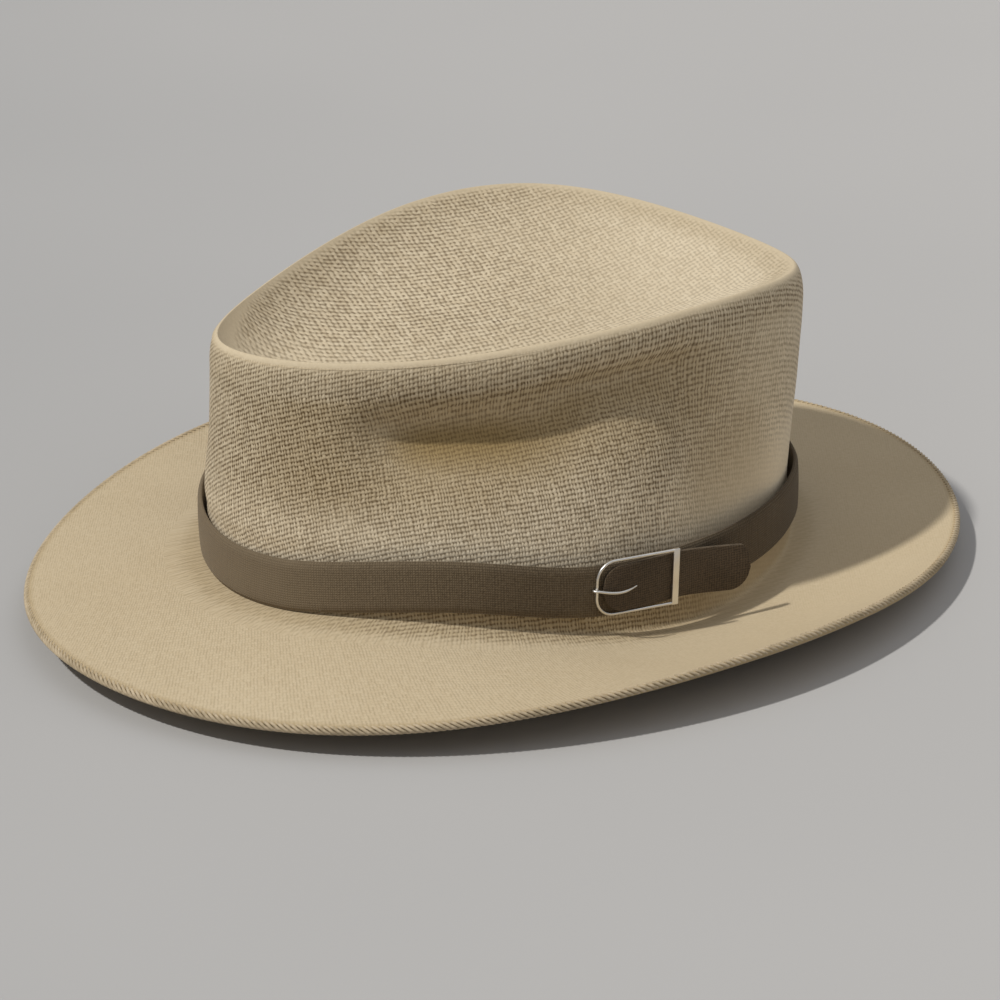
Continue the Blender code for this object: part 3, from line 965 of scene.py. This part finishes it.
def uv_place(finish):
    """Place in the weave, counted in threads across and up."""
    uv = finish.add("ShaderNodeUVMap", {"uv_map": "weave"})
    return [finish.add("ShaderNodeSeparateXYZ", None, {0: uv}, out) for out in (0, 1)]


def straw_finish():
    """Woven straw: wandering threads that differ in tone, dark gaps, and places darkened by
    painted shade and by the straw's own tone.
    """
    finish = Finish("woven_straw")
    across, up = uv_place(finish)
    across = across + (noise(finish, 70.0, 2.0) - 0.5) * 0.5
    across = across + (noise(finish, 620.0, 1.0) - 0.5) * 0.4
    up = up + (noise(finish, 160.0, 1.0) - 0.5) * 0.35
    up = up + (noise(finish, 560.0, 1.0) - 0.5) * 0.35
    up = up + (chance(finish, across.whole()) - 0.5) * 0.16
    across = across + (chance(finish, up.whole() + 51) - 0.5) * 0.2
    relief, gaps = plain_weave(finish, across, up, attribute(finish, "rows_shown"))
    patches = noise(finish, 26.0, 3.0).sharpened(0.2, 0.5)
    shown = attribute(finish, "weave_depth") * (patches * 0.3 + 0.7)
    holes = gaps * shown
    bead = chance(finish, up.whole() * 7 + across.whole() * 31)
    cloud = noise(finish, 18.0, 2.0)
    fibre = noise(finish, 900.0, 2.0)
    tone = (bead - 0.5) * shown * 0.35 + fibre * 0.4 + cloud * 0.3 + 0.15
    thread = finish.mix(tone.sharpened(0.2, 0.8), STRAW_DULL, STRAW_PALE)
    # Painted shade: darker brown in the dents, on the upper wall, below the band and at the brim's
    # foot
    thread = finish.mix(attribute(finish, "shade_and_tone") * 0.85, thread, STRAW_SHADE_AND_TONE)
    colour = finish.mix(holes, thread, STRAW_GAP)
    normal = bumped(finish, relief * shown + fibre * 0.12, 0.35, 0.0004)
    rough = 0.72 + holes * 0.2
    fixed = {"Specular IOR Level": 0.3}
    return finish.surface(fixed, Base_Color=colour, Roughness=rough, Normal=normal)


def braid_finish():
    """Straw strands of the brim's edge, a little duller than the weave."""
    finish = Finish("braided_straw")
    fibre = noise(finish, 700.0, 2.0)
    tone = fibre * 0.6 + noise(finish, 60.0, 2.0) * 0.4
    colour = finish.mix(tone.sharpened(0.3, 0.7), BRAID_DULL, BRAID_PALE)
    fixed = {"Specular IOR Level": 0.3, "Roughness": 0.75}
    return finish.surface(fixed, Base_Color=colour, Normal=bumped(finish, fibre, 0.4, 0.0002))


def cloth_finish(name, dark, light, rubbed, painted_light_slope=0.0):
    """Fine woven strap, paler on its yarns and where it is rubbed, with painted light that makes
    it paler towards the left.
    """
    finish = Finish(name)
    across, up = uv_place(finish)
    across = across + (noise(finish, 130.0, 1.0) - 0.5) * 0.8
    relief, gaps = plain_weave(finish, across, up)
    rubbing = noise(finish, 30.0, 3.0)
    fibre = noise(finish, 1300.0, 2.0)
    # Painted light: paler towards the left of the view
    painted_light = place_aside(finish) * painted_light_slope
    tone = fibre * 0.45 + rubbing * 0.35 - gaps * 0.3 - painted_light + 0.27
    colour = finish.mix(tone.sharpened(0.25, 0.85), dark, light)
    colour = finish.mix(rubbing.sharpened(0.55, 0.8) * 0.35, colour, rubbed)
    normal = bumped(finish, relief + fibre * 0.3, 0.5, 0.00025)
    fixed = {
        "Specular IOR Level": 0.25,
        "Sheen Weight": 0.18,
        "Sheen Roughness": 0.4,
        "Sheen Tint": CLOTH_SHEEN,
    }
    return finish.surface(fixed, Base_Color=colour, Roughness=0.8 + fibre * 0.1, Normal=normal)


def metal_finish():
    """Satin metal with fine rubbing marks."""
    finish = Finish("satin_metal")
    marks = noise(finish, 500.0, 4.0)
    cloud = noise(finish, 90.0, 2.0)
    colour = finish.mix(cloud.sharpened(0.3, 0.7), METAL_DULL, METAL_BRIGHT)
    normal = bumped(finish, marks, 0.12, 0.0001)
    rough = 0.26 + marks * 0.16
    return finish.surface({"Metallic": 1.0}, Base_Color=colour, Roughness=rough, Normal=normal)


def floor_finish():
    """Plain floor with painted light, a little paler to the right, and a faint random tone."""
    finish = Finish("pale_floor")
    # Painted light: paler towards the right of the view, with a faint random tone
    tone = (place_aside(finish) * 1.3 + noise(finish, 1.3, 3.0)).sharpened(0.0, 1.0)
    colour = finish.mix(tone, FLOOR_DARK, FLOOR_LIGHT)
    return finish.surface({"Specular IOR Level": 0.1, "Roughness": 0.9}, Base_Color=colour)


class NodeGroup:
    """A geometry node tree under construction."""

    def __init__(self, name, inputs):
        self.tree = bpy.data.node_groups.new(name, "GeometryNodeTree")
        face = self.tree.interface
        self.sockets = {}
        for label, kind in inputs:
            made = face.new_socket(label, in_out="INPUT", socket_type=kind)
            self.sockets[label] = made.identifier
        face.new_socket("Geometry", in_out="OUTPUT", socket_type="NodeSocketGeometry")
        self.given = self.tree.nodes.new("NodeGroupInput")

    def add(self, kind, settings=None, sockets=None, out=0):
        """New node with its settings and the values or links of its sockets."""
        made = self.tree.nodes.new(kind)
        for name, value in (settings or {}).items():
            setattr(made, name, value)
        for name, value in (sockets or {}).items():
            if isinstance(value, bpy.types.NodeSocket):
                self.tree.links.new(value, made.inputs[name])
            else:
                made.inputs[name].default_value = value
        return made.outputs[out]

    def given_value(self, label):
        return self.given.outputs[label]

    def finish(self, geometry):
        """Ends the tree in real geometry with its material."""
        whole = self.add("GeometryNodeRealizeInstances", None, {"Geometry": geometry})
        sockets = {"Geometry": whole, "Material": self.given_value("Finish")}
        painted = self.add("GeometryNodeSetMaterial", None, sockets)
        end = self.tree.nodes.new("NodeGroupOutput")
        self.tree.links.new(painted, end.inputs[0])

    def mesh_on(self, name, path, values):
        """Plain mesh of what the tree makes along a path mesh."""
        holder = bpy.data.objects.new(name, path)
        bpy.context.scene.collection.objects.link(holder)
        maker = holder.modifiers.new("maker", "NODES")
        maker.node_group = self.tree
        for label, value in values.items():
            maker[self.sockets[label]] = value
        seen = holder.evaluated_get(bpy.context.evaluated_depsgraph_get())
        mesh = bpy.data.meshes.new_from_object(seen)
        holder.modifiers.remove(maker)
        bpy.data.objects.remove(holder, do_unlink=True)
        mesh.name = name
        return mesh


def braid_group():
    """Strands laid slantwise over an edge, one after the other along a path."""
    group = NodeGroup("braid_over_edge", (
        ("Path", "NodeSocketGeometry"),
        ("Strands", "NodeSocketInt"),
        ("Strand radius", "NodeSocketFloat"),
        ("Reach", "NodeSocketFloat"),
        ("Slant", "NodeSocketFloat"),
        ("Finish", "NodeSocketMaterial"),
    ))
    line = group.add("GeometryNodeMeshToCurve", None, {"Mesh": group.given_value("Path")})
    sockets = {"Curve": line, "Count": group.given_value("Strands")}
    spots = group.add("GeometryNodeResampleCurve", {"mode": "COUNT"}, sockets)
    along = group.add("GeometryNodeInputTangent")
    sockets = {0: along, 1: (0, 0, 1)}
    out = group.add("ShaderNodeVectorMath", {"operation": "CROSS_PRODUCT"}, sockets)
    axes = {"primary_axis": "Z", "secondary_axis": "X"}
    sockets = {"Primary Axis": along, "Secondary Axis": out}
    turn = group.add("FunctionNodeAxesToRotation", axes, sockets)
    arc = group.add("GeometryNodeCurveArc", {"mode": "RADIUS"}, {
        "Resolution": ARC_POINTS,
        "Radius": group.given_value("Reach"),
        "Start Angle": BRAID_START,
        "Sweep Angle": BRAID_WRAP,
    })
    way = group.add("GeometryNodeSplineParameter")
    from_middle = group.add("ShaderNodeMath", {"operation": "SUBTRACT"}, {0: way, 1: 0.5})
    sockets = {0: from_middle, 1: group.given_value("Slant")}
    shift = group.add("ShaderNodeMath", {"operation": "MULTIPLY"}, sockets)
    offset = group.add("ShaderNodeCombineXYZ", None, {"Z": shift})
    slanted = group.add("GeometryNodeSetPosition", None, {"Geometry": arc, "Offset": offset})
    sockets = {"Resolution": STRAND_SIDES, "Radius": group.given_value("Strand radius")}
    ring = group.add("GeometryNodeCurvePrimitiveCircle", {"mode": "RADIUS"}, sockets)
    sockets = {"Curve": slanted, "Profile Curve": ring, "Fill Caps": True}
    strand = group.add("GeometryNodeCurveToMesh", None, sockets)
    smooth = group.add("GeometryNodeSetShadeSmooth", None, {"Geometry": strand})
    sockets = {"Points": spots, "Instance": smooth, "Rotation": turn}
    laid = group.add("GeometryNodeInstanceOnPoints", None, sockets)
    group.finish(laid)
    return group


def make_braid(finish):
    """Strands round the brim's edge, over the raw end of the weave."""

    def build(work):
        spots = []
        for step in range(EDGE_STEPS):
            angle = math.tau * step / EDGE_STEPS
            point = brim_point(angle, 1.0)
            plan = outward(angle) * (BRAID_REACH * BRAID_INSET)
            height = point.z - STRAW_WALL / 2
            spots.append(work.verts.new((point.x - plan.x, point.y - plan.y, height)))
        for first, second in zip(spots, spots[1:] + spots[:1]):
            work.edges.new((first, second))

    _, length = share_of_way(lambda angle: brim_point(angle, 1.0))
    path = mesh_of("edge_path", build)
    mesh = braid_group().mesh_on("edge_braid", path, {
        "Strands": round(length / BRAID_PITCH),
        "Strand radius": BRAID_STRAND,
        "Reach": BRAID_REACH,
        "Slant": BRAID_SLANT,
        "Finish": finish,
    })
    return new_piece("edge_braid", mesh, finish)


def make_floor(height):
    bpy.ops.mesh.primitive_plane_add(size=FLOOR_SIZE, location=(0, 0, height))
    floor = bpy.context.object
    floor.name = "floor"
    floor.data.materials.append(floor_finish())


def make_camera():
    """Camera at the photo's place, as fitted to the hat's outlines."""
    roll = math.radians(-1.36)
    focal = 4000.0
    middle = 500.0
    distance = 1.3242
    aimed_at = (503.65, 520.97)
    target = Vector((0, FOOT_SETBACK, 0.0154))
    back = TOWARDS_VIEW * math.cos(VIEW_ABOVE) + Vector((0, 0, math.sin(VIEW_ABOVE)))
    up = back.cross(ACROSS_VIEW)
    right = ACROSS_VIEW * math.cos(roll) + up * math.sin(roll)
    top = up * math.cos(roll) - ACROSS_VIEW * math.sin(roll)
    aside = (aimed_at[0] - middle) / focal * distance
    above = -(aimed_at[1] - middle) / focal * distance
    place = target + back * distance - right * aside - top * above
    lens = bpy.data.cameras.new("camera")
    lens.sensor_width = 36
    lens.lens = lens.sensor_width * focal / (2 * middle)
    lens.clip_start = 0.01
    lens.clip_end = 60
    camera = bpy.data.objects.new("camera", lens)
    turn = Matrix((right, top, back)).transposed().to_4x4()
    camera.matrix_world = Matrix.Translation(place) @ turn
    bpy.context.scene.collection.objects.link(camera)
    bpy.context.scene.camera = camera


def make_light(name, energy, width, colour, source):
    """Even light from a direction, whose shadows soften with its width in degrees."""
    light = bpy.data.lights.new(name, "SUN")
    light.energy = energy
    light.angle = math.radians(width)
    light.color = colour
    lamp = bpy.data.objects.new(name, light)
    lamp.rotation_euler = source.to_track_quat("Z", "Y").to_euler()
    bpy.context.scene.collection.objects.link(lamp)


def make_lights():
    """Key light from above the front, a wide weak fill from the right, and a grey studio."""
    make_light("key", 2.25, 2.5, (1.0, 0.985, 0.95), Vector((-0.09, -0.57, 0.82)))
    make_light("fill", 0.4, 70, (0.93, 0.96, 1.0), ACROSS_VIEW * 0.5 + Vector((0, 0, 0.87)))
    world = bpy.data.worlds.new("studio")
    world.use_nodes = True
    sky = world.node_tree.nodes["Background"]
    sky.inputs["Color"].default_value = (0.42, 0.42, 0.43, 1)
    sky.inputs["Strength"].default_value = 0.75
    bpy.context.scene.world = world
    bpy.context.scene.view_settings.view_transform = "Standard"


def main():
    metal = metal_finish()
    band_cloth = cloth_finish("band_weave", BAND_DARK, BAND_LIGHT, BAND_RUBBED, BAND_PAINTED_LIGHT)
    tail_cloth = cloth_finish("tail_weave", TAIL_DARK, TAIL_LIGHT, TAIL_RUBBED)
    pieces = (
        (make_straw(straw_finish()), "hat_body"),
        (make_braid(braid_finish()), "hat_body"),
        (make_band(band_cloth), "hat_band"),
        (make_tail(tail_cloth), "band_tail"),
        (make_buckle(metal), "buckle_frame"),
        (make_prong(metal), "buckle_prong"),
    )
    for piece, node in pieces:
        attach(piece, "root")
        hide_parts(node)
    low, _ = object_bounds()
    make_floor(low[2])
    make_camera()
    make_lights()


main()
